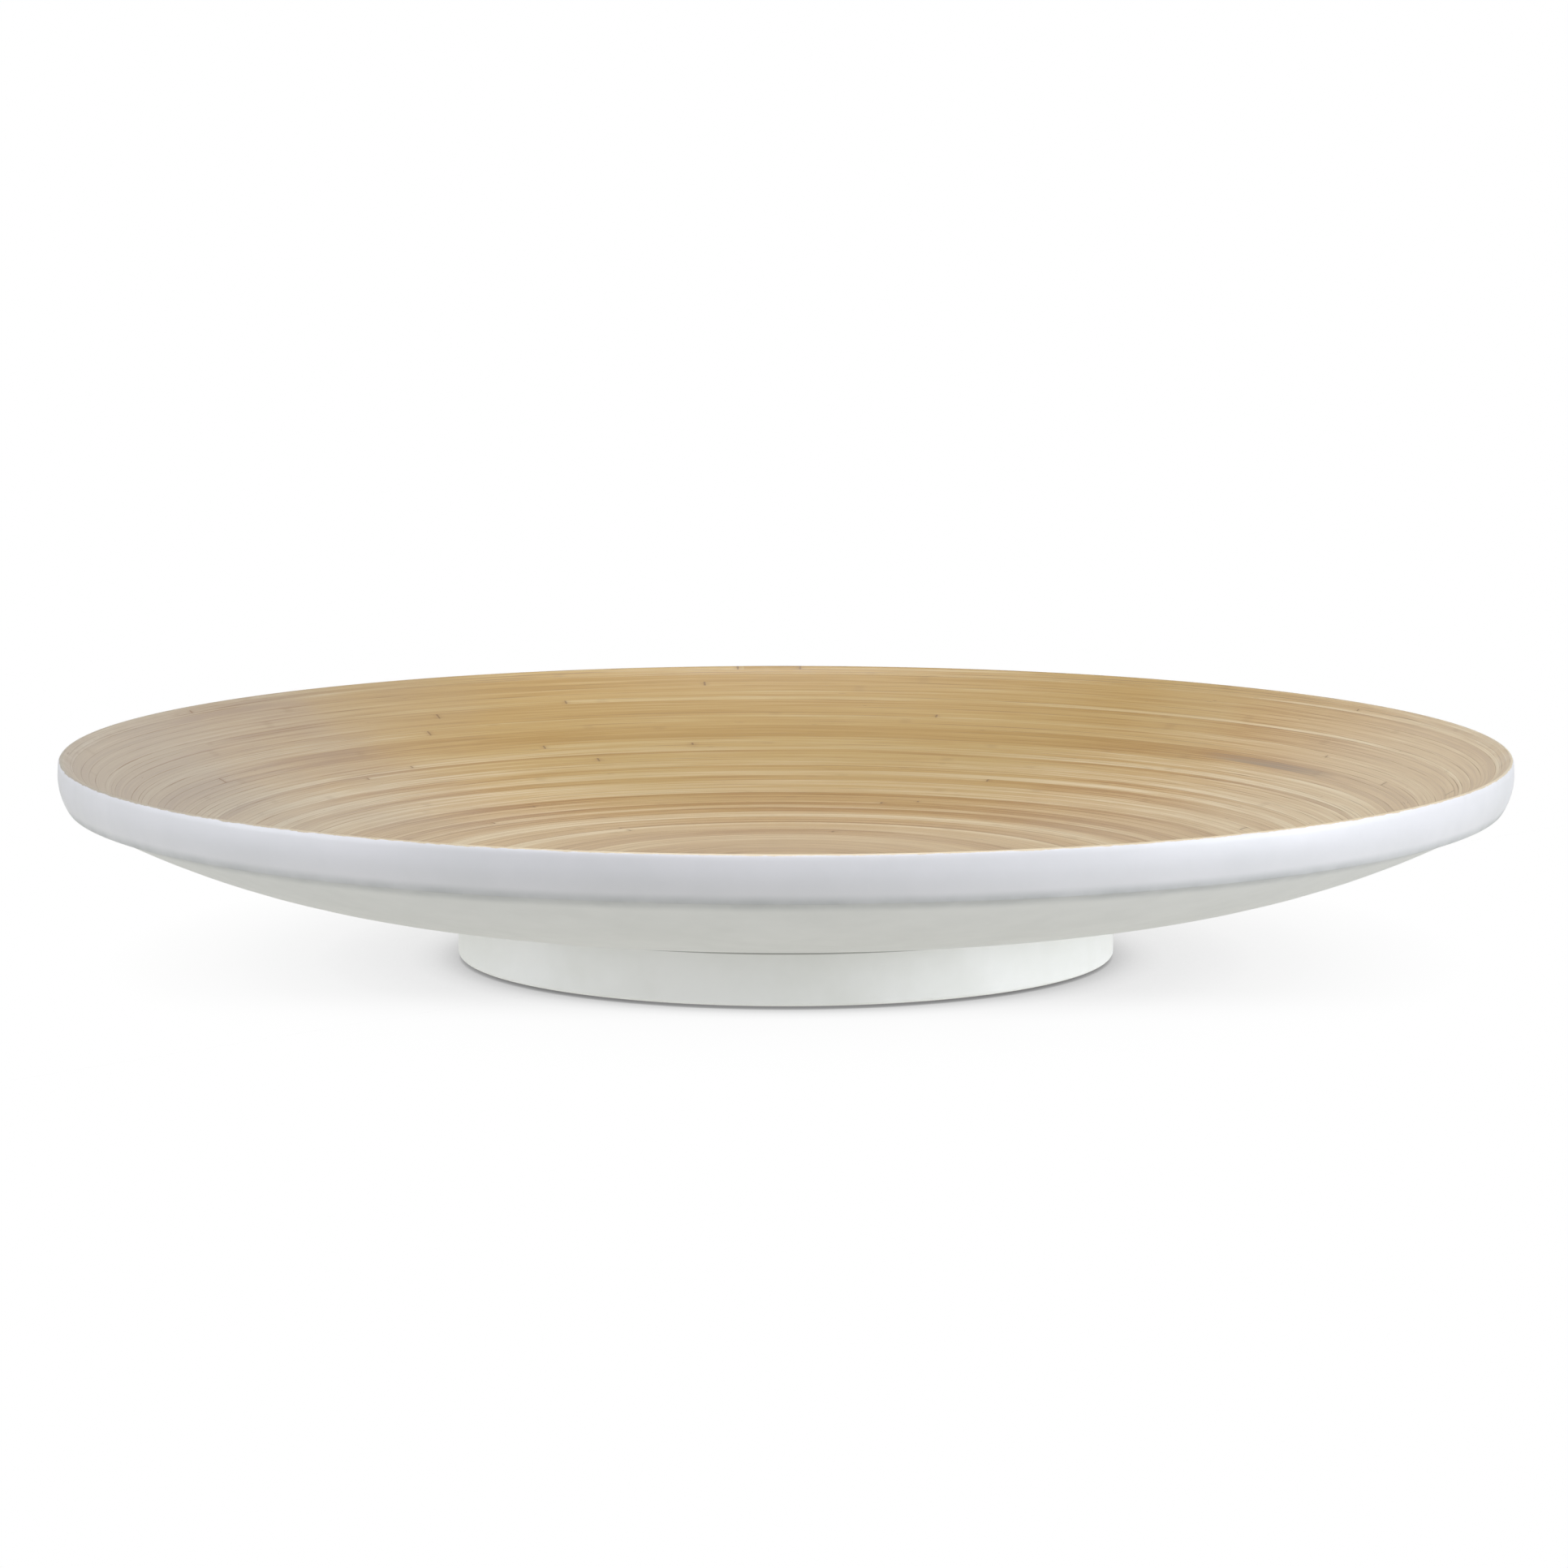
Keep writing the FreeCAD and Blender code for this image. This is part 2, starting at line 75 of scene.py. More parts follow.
# How dark the painted shadow on the table's face is under the bowl and close to the foot, by the share of open sky
# above each spot.
TABLE_SHADE_REACH = 0.036
TABLE_PAINTED_SHADES = ((0.0, 0.58), (0.08, 0.74), (0.24, 0.88), (0.50, 0.965), (0.85, 1.0))
CONTACT_REACH = 0.013
CONTACT_PAINTED_SHADES = ((0.0, 0.30), (0.30, 0.50), (0.55, 0.76), (0.78, 0.93), (1.0, 1.0))
SHADE_SAMPLES = 16
# Painted light: from here towards the front the painted shadow fades to white, this far at most.
FRONT_PAINTED_LIGHT = (-0.050, -0.100, 0.0, 0.85)
CORNER_ANGLE_DEG = 38


def add_node(tree, kind, inputs=None, **properties):
    """Add a node; each input is a value, or another node's output to link."""
    made = tree.nodes.new(kind)
    for name, value in properties.items():
        setattr(made, name, value)
    for name, value in (inputs or {}).items():
        if isinstance(value, bpy.types.NodeSocket):
            tree.links.new(value, made.inputs[name])
        else:
            made.inputs[name].default_value = value
    return made


def maths(tree, operation, *values):
    """One step of arithmetic on numbers or outputs."""
    return add_node(tree, "ShaderNodeMath", dict(enumerate(values)), operation=operation).outputs[0]


def vector_maths(tree, operation, inputs):
    """One step of arithmetic on directions, places or colours."""
    return add_node(tree, "ShaderNodeVectorMath", inputs, operation=operation).outputs


def split(tree, vector):
    """The three parts of a place."""
    return add_node(tree, "ShaderNodeSeparateXYZ", {0: vector}).outputs


def own_place(tree):
    """Where a spot is on the object."""
    return add_node(tree, "ShaderNodeTexCoord").outputs["Object"]


def ramp(tree, factor, stops):
    """A colour ramp with these stops, each a grey or a colour; returns its colour output."""
    made = add_node(tree, "ShaderNodeValToRGB", {0: factor})
    bands = made.color_ramp.elements
    for number, (position, colour) in enumerate(stops):
        stop = bands[number] if number < 2 else bands.new(position)
        stop.position = position
        stop.color = colour if isinstance(colour, tuple) else (colour, colour, colour, 1)
    return made.outputs[0]


def ranged(tree, value, low, high, to_low=0.0, to_high=1.0):
    """Map a value from one range to another, smoothly and clamped."""
    inputs = {"Value": value, "From Min": low, "From Max": high, "To Min": to_low, "To Max": to_high}
    return add_node(tree, "ShaderNodeMapRange", inputs, interpolation_type="SMOOTHSTEP").outputs[0]


def blended(tree, factor, first, second):
    """Mix two colours."""
    return add_node(tree, "ShaderNodeMix", {0: factor, 6: first, 7: second}, data_type="RGBA").outputs[2]


def panel(tree, looking, stand, gathered, colour, light):
    """Add the light of one soft panel of the tent, brightest where it stands."""
    stand = Vector(stand).normalized()
    towards = vector_maths(tree, "DOT_PRODUCT", {0: looking, 1: stand})["Value"]
    towards = maths(tree, "POWER", maths(tree, "MAXIMUM", towards, 0.0), gathered)
    shone = vector_maths(tree, "SCALE", {0: colour, "Scale": towards})[0]
    return vector_maths(tree, "ADD", {0: shone, 1: light})[0]


def new_material(name, **sockets):
    """A material with one Principled shader, its sockets named with underscores for spaces."""
    material = bpy.data.materials.new(name)
    material.use_nodes = True
    shader = material.node_tree.nodes["Principled BSDF"]
    for socket, value in sockets.items():
        shader.inputs[socket.replace("_", " ")].default_value = value
    return material, material.node_tree, shader


def put_mesh(name, bm, *materials):
    """Turn a finished bmesh into an object at the origin, smooth shaded but for its true corners."""
    mesh = bpy.data.meshes.new(name)
    bm.to_mesh(mesh)
    bm.free()
    for material in materials:
        mesh.materials.append(material)
    mesh.shade_smooth()
    mesh.set_sharp_from_angle(angle=math.radians(CORNER_ANGLE_DEG))
    made = bpy.data.objects.new(name, mesh)
    bpy.context.scene.collection.objects.link(made)
    return made


camera_data = bpy.data.cameras.new("camera")
camera_data.lens = CAMERA_LENS_MM
camera_data.clip_end = CAMERA_FAR
camera = bpy.data.objects.new("camera", camera_data)
camera.location = CAMERA_PLACE
camera.rotation_euler = (math.radians(90 - CAMERA_DIP_DEG), 0, 0)
bpy.context.scene.collection.objects.link(camera)
bpy.context.scene.camera = camera
bpy.context.scene.view_settings.view_transform = "Standard"

tent = bpy.data.worlds.new("light_tent")
tent.use_nodes = True
tree = tent.node_tree
tree.nodes.clear()
looking = add_node(tree, "ShaderNodeTexCoord").outputs["Generated"]
glow = TENT_FILL
for stand, gathered, colour in TENT_PANELS:
    glow = panel(tree, looking, stand, gathered, colour, glow)
seen = add_node(tree, "ShaderNodeLightPath").outputs["Is Camera Ray"]
lit = add_node(tree, "ShaderNodeBackground", {"Color": glow, "Strength": 1.0}).outputs[0]
plain = add_node(tree, "ShaderNodeBackground", {"Color": GLOW_WHITE, "Strength": 1.0}).outputs[0]
both = add_node(tree, "ShaderNodeMixShader", {0: seen, 1: lit, 2: plain}).outputs[0]
add_node(tree, "ShaderNodeOutputWorld", {"Surface": both})
bpy.context.scene.world = tent

# The table glows more in the middle to light the platter; to the camera its face shows a painted shadow under the
# bowl and close to the foot, painted lighter towards the front, and it is clear from beneath.
table_acrylic, tree, cast_shader = new_material(
    "table_acrylic", Base_Color=TABLE_CAST, Roughness=1.0, Specular_IOR_Level=0.0, Emission_Strength=1.0,
)
place = own_place(tree)
from_middle = vector_maths(tree, "LENGTH", {0: place})["Value"]
lamp = blended(tree, ranged(tree, from_middle, *LAMP_REACH), TABLE_CAST_GLOW, TABLE_LAMP_GLOW)
tree.links.new(lamp, cast_shader.inputs["Emission Color"])
open_share = add_node(
    tree, "ShaderNodeAmbientOcclusion", {"Distance": TABLE_SHADE_REACH}, samples=SHADE_SAMPLES,
).outputs["AO"]
# Painted shadow: the face the camera sees is darkened where the bowl and foot hide the sky.
shade = ramp(tree, open_share, TABLE_PAINTED_SHADES)
shade = blended(tree, ranged(tree, split(tree, place)["Y"], *FRONT_PAINTED_LIGHT), shade, GLOW_WHITE)
open_share = add_node(
    tree, "ShaderNodeAmbientOcclusion", {"Distance": CONTACT_REACH}, samples=SHADE_SAMPLES,
).outputs["AO"]
shade = vector_maths(tree, "MULTIPLY", {0: shade, 1: ramp(tree, open_share, CONTACT_PAINTED_SHADES)})[0]
painted_shadow_face = add_node(tree, "ShaderNodeEmission", {"Color": shade, "Strength": 1.0})
seen = add_node(tree, "ShaderNodeLightPath").outputs["Is Camera Ray"]
both = add_node(tree, "ShaderNodeMixShader", {0: seen, 1: cast_shader.outputs[0], 2: painted_shadow_face.outputs[0]})
beneath = add_node(tree, "ShaderNodeNewGeometry").outputs["Backfacing"]
clear = add_node(tree, "ShaderNodeBsdfTransparent").outputs[0]
both = add_node(tree, "ShaderNodeMixShader", {0: beneath, 1: both.outputs[0], 2: clear})
tree.links.new(both.outputs[0], tree.nodes["Material Output"].inputs["Surface"])
bm = bmesh.new()
bmesh.ops.create_grid(bm, x_segments=1, y_segments=1, size=TABLE_SIZE / 2)
bmesh.ops.translate(bm, verts=bm.verts, vec=(0, 0, -TABLE_CLEARANCE))
table = put_mesh("table", bm, table_acrylic)


# ---------------------------------------------------------------- finishes of the platter
# Split bamboo is wound edge up, so its cut edges show as fine lines: cream, tan and orange-brown, streaked
# along the fibre, with dark glue between. It is sanded and sealed with a satin clear lacquer. Outside, the
# platter is filled, sanded and sprayed with satin white.

BAMBOO_TONES = (
    (0.00, (0.370, 0.205, 0.082, 1)),
    (0.22, (0.480, 0.300, 0.130, 1)),
    (0.45, (0.530, 0.355, 0.170, 1)),
    (0.70, (0.575, 0.405, 0.210, 1)),
    (0.90, (0.640, 0.490, 0.285, 1)),
    (1.00, (0.710, 0.580, 0.380, 1)),
)
GLUE_BROWN = (0.20, 0.115, 0.060, 1)
STAIN_GREY = (0.30, 0.245, 0.19, 1)
SIDE_PAINTED_SHADE_GREY = (0.34, 0.315, 0.28, 1)
PALER_CANE_TONE = (0.66, 0.58, 0.44, 1)
BACK_BROWN_TONE = (0.42, 0.28, 0.085, 1)
# How strongly each thing lightens or darkens the cane: its strip, long streaks, fibres, coarse fibres, clouds.
TONE_SHARE = 0.95
ALONG_SHARE = 1.20
FIBRE_SHARE = 1.90
COARSE_SHARE = 1.70
MOTTLE_SHARE = 0.40
# Where each tinted zone begins and is full, and how far it takes over there.
BROWN_BACK = (0.07, 0.15, 0.0, 0.60)
PALE_MIDDLE = (0.105, 0.045, 0.0, 0.32)
# Painted shade on the left side of the dish, painted light on the right side.
PAINTED_SHADE_SIDE = (-0.060, -0.160, 0.0, 0.62)
PAINTED_LIGHT_SIDE = (0.085, 0.165, 0.0, 0.28)
CLOUDY_EDGE = 0.05
JOINTS_PER_METRE = 3.4
BAMBOO_RELIEF = 0.035 * MM

PAINT_WHITE = (0.80, 0.80, 0.80, 1)
PAINT_SHADE = (0.76, 0.762, 0.76, 1)
# Painted shade in the corner under the rim band, and where it reaches.
CREASE_PAINTED_SHADE = (0.52, 0.53, 0.54, 1)
CREASE_SHADE_REACH = (167.5 * MM, 172.6 * MM)
CREASE_SHADE_LEVEL = (42.2 * MM, 39.7 * MM)
PAINT_RELIEF = 0.03 * MM


def stretched(tree, vector, scale):
    """The same coordinates, stretched by a factor along each axis."""
    return add_node(tree, "ShaderNodeMapping", {"Vector": vector, "Scale": scale}).outputs[0]


def noise_value(tree, vector, scale, detail=3.0, roughness=0.55, distortion=0.0):
    """The value of a noise texture, about 0.5 on average."""
    inputs = {"Vector": vector, "Scale": scale, "Detail": detail, "Roughness": roughness, "Distortion": distortion}
    return add_node(tree, "ShaderNodeTexNoise", inputs).outputs[0]


def attribute(tree, name):
    """A value painted on the mesh."""
    return add_node(tree, "ShaderNodeAttribute", attribute_name=name).outputs["Fac"]


def axis_distance(tree, place):
    """How far a spot is from the axis."""
    spot = split(tree, place)
    flat = add_node(tree, "ShaderNodeCombineXYZ", {0: spot[0], 1: spot[1]}).outputs[0]
    return vector_maths(tree, "LENGTH", {0: flat})["Value"]


def add_bump(tree, shader, height, depth):
    """Give the shader relief from a height output, this deep in metres."""
    bump = add_node(tree, "ShaderNodeBump", {"Height": height, "Strength": 1.0, "Distance": depth})
    tree.links.new(bump.outputs[0], shader.inputs["Normal"])


def swayed(tree, shade, by, share):
    """Lighten or darken a shade by a value that is 0.5 on average."""
    return maths(tree, "MULTIPLY_ADD", maths(tree, "SUBTRACT", by, 0.5), share, shade)


def bamboo_colour(tree):
    """The colour, height and roughness of wound bamboo, from what is painted on the mesh."""
    ribbon = add_node(tree, "ShaderNodeUVMap", uv_map="ribbon").outputs[0]
    place = own_place(tree)
    tone = attribute(tree, "tone")
    edge = attribute(tree, "edge_mm")
    end = maths(tree, "ABSOLUTE", attribute(tree, "end_mm"))
    along = noise_value(tree, stretched(tree, ribbon, (9, 420, 1)), 1.0, 3.0)
    fibre = noise_value(tree, stretched(tree, ribbon, (38, 5200, 1)), 1.0, 3.0, 0.6)
    coarse = noise_value(tree, stretched(tree, ribbon, (16, 1700, 1)), 1.0, 2.0)
    mottle = noise_value(tree, place, 22.0, 3.0)
    shade = swayed(tree, 0.5, tone, TONE_SHARE)
    shade = swayed(tree, shade, along, ALONG_SHARE)
    shade = swayed(tree, shade, fibre, FIBRE_SHARE)
    shade = swayed(tree, shade, coarse, COARSE_SHARE)
    shade = swayed(tree, shade, mottle, MOTTLE_SHARE)
    colour = ramp(tree, shade, BAMBOO_TONES)

    # The cane is tinted by place: browner towards the back and paler over the middle and to the front. Greyer on
    # the left side of the dish is painted shade, and paler on the right side is painted light.
    spot = split(tree, place)
    side = swayed(tree, spot[0], mottle, CLOUDY_EDGE)
    back = swayed(tree, spot[1], mottle, CLOUDY_EDGE)
    colour = blended(tree, ranged(tree, back, *BROWN_BACK), colour, BACK_BROWN_TONE)
    colour = blended(tree, ranged(tree, back, *PALE_MIDDLE), colour, PALER_CANE_TONE)
    # Painted shade darkens the left side to grey; painted light pales the right side.
    colour = blended(tree, ranged(tree, side, *PAINTED_SHADE_SIDE), colour, SIDE_PAINTED_SHADE_GREY)
    colour = blended(tree, ranged(tree, side, *PAINTED_LIGHT_SIDE), colour, PALER_CANE_TONE)

    # A joint of the cane every so often along each ribbon: a short darker band.
    length = split(tree, ribbon)["X"]
    joint = maths(tree, "MULTIPLY_ADD", length, JOINTS_PER_METRE, maths(tree, "MULTIPLY", tone, 17.0))
    joint = maths(tree, "ABSOLUTE", maths(tree, "SUBTRACT", maths(tree, "FRACT", joint), 0.5))
    joint = ranged(tree, maths(tree, "MULTIPLY_ADD", fibre, 0.006, joint), 0.012, 0.004, 0.0, 0.13)
    colour = blended(tree, joint, colour, GLUE_BROWN)

    # Glue between the windings, dark where it is thick and gone where the strips lie close.
    patchy = noise_value(tree, stretched(tree, ribbon, (26, 300, 1)), 1.0, 3.0, 0.6)
    width = ranged(tree, patchy, 0.38, 0.72, 0.03, 0.20)
    glue = ranged(tree, maths(tree, "DIVIDE", edge, width), 1.0, 0.35)
    glue_strength = ranged(tree, patchy, 0.42, 0.72, 0.12, 0.62)
    colour = blended(tree, maths(tree, "MULTIPLY", glue, glue_strength), colour, GLUE_BROWN)

    # Where two lengths of ribbon meet there is a fine dark gap.
    gap = ranged(tree, end, 0.42, 0.16, 0.0, 0.75)
    shoulder = ranged(tree, maths(tree, "MULTIPLY_ADD", fibre, 2.0, end), 3.2, 0.8, 0.0, 0.22)
    colour = blended(tree, maths(tree, "MAXIMUM", gap, shoulder), colour, GLUE_BROWN)

    # A few dark specks and short dark fibres in the cane, and the stain.
    flecks = noise_value(tree, stretched(tree, ribbon, (150, 2600, 1)), 1.0, 1.0)
    colour = blended(tree, ranged(tree, flecks, 0.755, 0.80, 0.0, 0.65), colour, GLUE_BROWN)
    stain = maths(tree, "MULTIPLY", attribute(tree, "stain"), ranged(tree, coarse, 0.36, 0.60, 0.25, 0.85))
    colour = blended(tree, stain, colour, STAIN_GREY)

    height = maths(tree, "MULTIPLY_ADD", glue, -0.8, fibre)
    height = maths(tree, "MULTIPLY_ADD", gap, -1.2, height)
    rough = maths(tree, "MULTIPLY_ADD", fibre, 0.14, maths(tree, "MULTIPLY_ADD", glue, 0.12, 0.36))
    return colour, height, rough


def paint_colour(tree, white, clouded):
    """The colour, height and roughness of sprayed white: faint clouding, orange peel, painted shade in the corner.
    """
    place = own_place(tree)
    cloud = noise_value(tree, place, 28.0, 4.0, 0.6)
    colour = blended(tree, ranged(tree, cloud, 0.35, 0.65), white, clouded)

    # Painted shade darkens the corner where the rim band stands proud of the bowl, unevenly along it.
    corner = ranged(tree, axis_distance(tree, place), *CREASE_SHADE_REACH)
    corner = maths(tree, "MULTIPLY", corner, ranged(tree, split(tree, place)["Z"], *CREASE_SHADE_LEVEL))
    uneven = ranged(tree, noise_value(tree, place, 75.0, 4.0), 0.3, 0.7, 0.65, 1.0)
    colour = blended(tree, maths(tree, "MULTIPLY", corner, uneven), colour, CREASE_PAINTED_SHADE)
    peel = noise_value(tree, place, 900.0, 2.0)
    drift = noise_value(tree, stretched(tree, place, (1, 1, 3.5)), 60.0, 2.0)
    rough = ranged(tree, noise_value(tree, place, 150.0, 4.0), 0.3, 0.7, 0.33, 0.47)
    height = maths(tree, "MULTIPLY_ADD", peel, 0.25, drift)
    return colour, height, rough


bamboo_lacquered, tree, shader = new_material(
    "bamboo_lacquered", Coat_Weight=0.08, Coat_Roughness=0.25, Specular_IOR_Level=0.4,
)
bamboo, bamboo_height, bamboo_rough = bamboo_colour(tree)
tree.links.new(bamboo, shader.inputs["Base Color"])
tree.links.new(bamboo_rough, shader.inputs["Roughness"])
add_bump(tree, shader, bamboo_height, BAMBOO_RELIEF)

white_sprayed, tree, shader = new_material("white_sprayed", Coat_Weight=0.15, Coat_Roughness=0.3)
paint, paint_height, paint_rough = paint_colour(tree, PAINT_WHITE, PAINT_SHADE)
tree.links.new(paint, shader.inputs["Base Color"])
tree.links.new(paint_rough, shader.inputs["Roughness"])
add_bump(tree, shader, paint_height, PAINT_RELIEF)


# ---------------------------------------------------------------- the coiled bowl
# The bowl is one long ribbon of split bamboo wound edge-on round a small core, like a watch spring, then
# pushed into a shallow dish, soaked with glue and sanded. Lengths of ribbon are butted end to end.

COIL_SEED = 11
CORE_RADIUS = 1.6 * MM
STRIP_THIN = 0.7 * MM
STRIP_THICK = 2.7 * MM
RIBBON_LENGTHS = (0.35, 1.9)
END_REACH = 8 * MM
ROUND_STEPS = 288
WINDING_WOBBLE = 0.45 * MM
GROOVE_DEPTH = 0.035 * MM
DISH_RIPPLE = 0.10 * MM
UNDER_RIPPLE = 0.05 * MM
UNDER_STEPS = 58
UNDERCUT = 0.8 * MM
UNDERCUT_WIDTH = 3.2 * MM
WELD = 0.004 * MM
FLAT_RADIUS = 84.0 * MM
EDGE_RADIUS = 173.8 * MM
EDGE_LOW = 39.9 * MM
DISH_THICKNESS = 5.0 * MM
STAIN_STRIPS = (148.6 * MM, 151.6 * MM)
STAIN_MIDDLE_DEG = 32.5
STAIN_HALF_DEG = 11.0

bowl_low, bowl_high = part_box("bamboo_bowl")
EDGE_HIGH = bowl_high.z
UNDER_LEVEL = bowl_low.z
FLOOR_LEVEL = UNDER_LEVEL + DISH_THICKNESS


def dish_level(radius, middle_level, edge_level):
    """Height of a surface that is flat in the middle and then one arc out to the edge."""
    run = EDGE_RADIUS - FLAT_RADIUS
    rise = edge_level - middle_level
    sweep = (run * run + rise * rise) / (2 * rise)
    out = max(0.0, min(radius, EDGE_RADIUS) - FLAT_RADIUS)
    return middle_level + sweep - math.sqrt(sweep * sweep - out * out)


def turned(bm, outline, closed=False):
    """Spin an outline of radius and height pairs once round the axis."""
    points = [bm.verts.new((radius, 0, level)) for radius, level in outline]
    sides = [bm.edges.new(pair) for pair in zip(points, points[1:])]
    if closed:
        sides.append(bm.edges.new((points[-1], points[0])))
    bmesh.ops.spin(
        bm, geom=points + sides, cent=(0, 0, 0), axis=(0, 0, 1),
        angle=2 * math.pi, steps=ROUND_STEPS, use_merge=True,
    )
    bmesh.ops.remove_doubles(bm, verts=bm.verts, dist=WELD)


class RibbonMarks:
    """What the bamboo finish reads from a mesh: place along the ribbon, distance from its edge and end, tone."""

    def __init__(self, bm):
        self.uv = bm.loops.layers.uv.new("ribbon")
        self.edge = bm.loops.layers.float.new("edge_mm")
        self.end = bm.loops.layers.float.new("end_mm")
        self.tone = bm.faces.layers.float.new("tone")
        self.stain = bm.loops.layers.float.new("stain")

    def corner(self, corner, length, across, from_edge, from_end, stain=0.0):
        """Mark one corner of a face."""
        corner[self.uv].uv = (length, across)
        corner[self.edge] = from_edge / MM
        corner[self.end] = max(-END_REACH, min(END_REACH, from_end)) / MM
        corner[self.stain] = stain


# Where each turn of the winding starts, measured from the centre and along the ribbon.
luck = random.Random(COIL_SEED)
turn_radius = [CORE_RADIUS]
while turn_radius[-1] < EDGE_RADIUS:
    turn_radius.append(turn_radius[-1] + STRIP_THIN + (STRIP_THICK - STRIP_THIN) * luck.random() ** 1.5)
TURNS = len(turn_radius) - 1
turn_radius += [turn_radius[-1] + STRIP_THICK, turn_radius[-1] + 2 * STRIP_THICK]
turn_start = [0.0]
for inner, outer in zip(turn_radius, turn_radius[1:]):
    turn_start.append(turn_start[-1] + math.pi * (inner + outer))


def coil_radius(turns):
    """Distance of the winding from the centre after this many turns."""
    whole = min(int(turns), TURNS + 1)
    return turn_radius[whole] + (turn_radius[whole + 1] - turn_radius[whole]) * (turns - whole)


def wound_length(turns):
    """Length of ribbon wound after this many turns."""
    whole = min(int(turns), TURNS)
    part = turns - whole
    step = turn_radius[whole + 1] - turn_radius[whole]
    return turn_start[whole] + 2 * math.pi * (turn_radius[whole] * part + step * part * part / 2)


# Where one length of ribbon ends and the next begins, in steps of the winding, and each length's tone.
ribbon_ends = [0]
ribbon_tones = []
wound = 0.0
while ribbon_ends[-1] < TURNS * ROUND_STEPS:
    wound += luck.uniform(*RIBBON_LENGTHS)
    ribbon_tones.append(luck.random())
    turns = min(bisect.bisect_right(turn_start, wound) - 1, TURNS)
    part = (wound - turn_start[turns]) / (turn_start[turns + 1] - turn_start[turns])
    ribbon_ends.append(round((turns + part) * ROUND_STEPS))

# The underside is turned smooth, with the windings just showing through the paint.
bm = bmesh.new()
marks = RibbonMarks(bm)
outline = []
for step in range(UNDER_STEPS + 1):
    radius = EDGE_RADIUS * step / UNDER_STEPS
    level = dish_level(radius, UNDER_LEVEL, EDGE_LOW)
    if FLAT_RADIUS < radius < EDGE_RADIUS:
        level += UNDER_RIPPLE * noise.noise(Vector((0, 0, radius * 420)))
    level += UNDERCUT * max(0.0, 1 - (EDGE_RADIUS - radius) / UNDERCUT_WIDTH)
    outline.append((radius, level))
turned(bm, outline)
for face in bm.faces:
    face.material_index = 1
painted = set(bm.faces)

# The coil is laid out straight first, two rows of faces to a strip, and then wound.
bmesh.ops.create_grid(bm, x_segments=2 * TURNS, y_segments=ROUND_STEPS, size=0.5)
wood = [face for face in bm.faces if face not in painted]


def laid_place(point):
    """Strip number and fraction of a turn of a point of the straight coil."""
    return round((point.x + 0.5) * 2 * TURNS) / 2, round((point.y + 0.5) * ROUND_STEPS) / ROUND_STEPS


for face in wood:
    middle = face.calc_center_median()
    strip = int((middle.x + 0.5) * TURNS)
    step = strip * ROUND_STEPS + int((middle.y + 0.5) * ROUND_STEPS)
    ribbon = bisect.bisect_right(ribbon_ends, step) - 1
    face[marks.tone] = ribbon_tones[min(ribbon, len(ribbon_tones) - 1)]
    nearest = min(ribbon_ends[ribbon:ribbon + 2], key=lambda end: abs(end - step - 0.5))
    end_length = wound_length(nearest / ROUND_STEPS)
    stained = STAIN_STRIPS[0] < turn_radius[strip] < STAIN_STRIPS[1]
    for corner in face.loops:
        position, part = laid_place(corner.vert.co)
        length = wound_length(strip + part)
        pitch = coil_radius(strip + 1 + part) - coil_radius(strip + part)
        from_edge = 0.0 if position == int(position) else pitch / 2
        stain = 0.0
        if stained:
            stain = max(0.0, 1 - ((360 * part - STAIN_MIDDLE_DEG) / STAIN_HALF_DEG) ** 2)
        marks.corner(corner, length, coil_radius(position + part), from_edge, length - end_length, stain)

for vert in {vert for face in wood for vert in face.verts}:
    position, part = laid_place(vert.co)
    radius = min(coil_radius(position + part), EDGE_RADIUS)
    calm = 1 - (radius / EDGE_RADIUS) ** 10
    heading = Vector((math.cos(2 * math.pi * part), math.sin(2 * math.pi * part), 0))
    radius += WINDING_WOBBLE * calm * noise.noise(heading * 1.3 + Vector((0, 0, radius * 60)))
    relief = -GROOVE_DEPTH if position == int(position) else GROOVE_DEPTH
    relief += DISH_RIPPLE * noise.noise(heading * 0.8 + Vector((0, 0, radius * 130)))
    vert.co = heading * radius
    vert.co.z = dish_level(radius, FLOOR_LEVEL, EDGE_HIGH) + relief * calm
bmesh.ops.remove_doubles(bm, verts=bm.verts, dist=WELD)
bmesh.ops.dissolve_degenerate(bm, edges=bm.edges, dist=WELD)

# A plug closes the eye of the coil, and the two faces meet at the edge.
eye = [edge for edge in bm.edges if edge.is_boundary and edge.verts[0].co.xy.length < 4 * STRIP_THICK]
plug = bmesh.ops.holes_fill(bm, edges=eye, sides=0)["faces"]
bmesh.ops.poke(bm, faces=plug)
rims = [edge for edge in bm.edges if edge.is_boundary]
bmesh.ops.bridge_loops(bm, edges=rims)
bmesh.ops.recalc_face_normals(bm, faces=bm.faces)
bowl = put_mesh("coiled_bowl", bm, bamboo_lacquered, white_sprayed)
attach(bowl, "platter")
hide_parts("bamboo_bowl")


# ---------------------------------------------------------------- the rim band
# Wider strip is wound round the bowl's edge and rounded over into a lip. The paint comes up over the outside
# and stops just short of the crown, where the last strips show bare; one short piece fills in at the back.

BAND_LOW_EDGE = ((174.8 * MM, 39.5 * MM), (175.15 * MM, 39.6 * MM), (175.42 * MM, 39.95 * MM))
WIDEST_LEVEL = 47.0 * MM
SHOULDER = (177.3 * MM, 50.1 * MM)
CROWN = 176.7 * MM
CROWN_EASED = (176.4 * MM, 50.85 * MM)
BROW = (176.1 * MM, 50.7 * MM)
INSIDE_RADII = (175.7 * MM, 175.3 * MM, 174.9 * MM, 174.45 * MM, 174.1 * MM)
